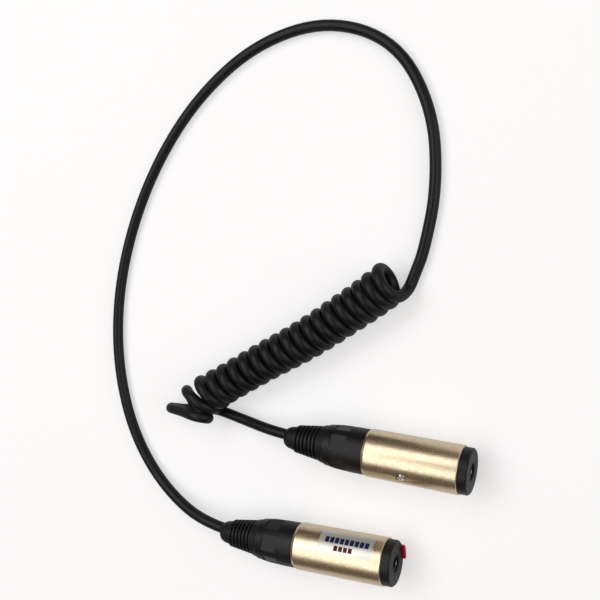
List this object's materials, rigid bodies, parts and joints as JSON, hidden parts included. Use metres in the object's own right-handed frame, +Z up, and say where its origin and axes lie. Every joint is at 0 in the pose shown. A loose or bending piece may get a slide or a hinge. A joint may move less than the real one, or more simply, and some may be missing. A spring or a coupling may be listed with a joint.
{
  "type": "coiled jack extension cable",
  "caption": "Black coiled audio adapter cable: a long plain lead runs from one metal jack socket round a loop into a tight coil, then a short tail to the other jack socket.",
  "frame": {"origin": "on the table, under the middle of the box round the two jack sockets", "axes": "+X runs out of the mouth of jack A along its axis, +Z is up from the table the cable lies on"},
  "size_m": [0.1844, 0.2402, 0.02],
  "materials": {
    "champagne_metal": "satin champagne-nickel plating",
    "black_moulding": "fine matt moulding",
    "black_rubber": "matt soft rubber",
    "cord_jacket": "smooth satin jacket",
    "insert_moulding": "matt glass-filled moulding",
    "chuck_moulding": "natural moulding",
    "contact_metal": "bright nickel plating",
    "screw_metal": "bright",
    "latch_steel": "plain pressed steel",
    "red_plastic": "gloss",
    "label_foil": "silvery translucent foil",
    "wire_red": "gloss",
    "wire_white": "gloss",
    "wire_copper": "bare strands"
  },
  "bodies": {
    "cable": {"boot_a": "black_rubber", "boot_b": "black_rubber", "coil": "cord_jacket", "contact_insert_a": "insert_moulding", "contact_insert_b": "insert_moulding", "cord_chuck_a": "chuck_moulding", "cord_chuck_b": "chuck_moulding", "front_cap_a": "black_moulding", "front_cap_b": "black_moulding", "gland_nut_a": "black_moulding", "gland_nut_b": "black_moulding", "label": "label_foil", "latch_spring": "latch_steel", "lead": "cord_jacket", "lever_pin": "latch_steel", "loose_turns": "cord_jacket", "retaining_screw_a": "screw_metal", "retaining_screw_b": "screw_metal", "ring_contact_a": "contact_metal", "ring_contact_b": "contact_metal", "ring_wire_a": "wire_white", "ring_wire_b": "wire_white", "screen_wire_a": "wire_copper", "screen_wire_b": "wire_copper", "shell_a": "champagne_metal", "shell_b": "champagne_metal", "sleeve_contact_a": "contact_metal", "sleeve_contact_b": "contact_metal", "tail": "cord_jacket", "tip_contact_a": "contact_metal", "tip_contact_b": "contact_metal", "tip_wire_a": "wire_red", "tip_wire_b": "wire_red"},
    "release_tab": {"release_tab": "red_plastic"},
    "latch": {"latch_lever": "latch_steel"}
  },
  "joints": [
    {"name": "tab_press", "type": "slide", "parent": "cable", "child": "release_tab", "axis": [-1, 0, 0], "range_m": [0, 0.0012], "stiffness_N_per_m": 800, "springref_m": -0.0006},
    {"name": "latch_tilt", "type": "hinge", "parent": "cable", "child": "latch", "pos_m": [0.01065, -0.01975, 0.00388], "axis": [0, -0.9272, -0.3746], "range_deg": [0, 6]}
  ],
  "couplings": [
    {"joint": "latch_tilt", "follows": "tab_press", "rad_per_m": 82.9}
  ]
}
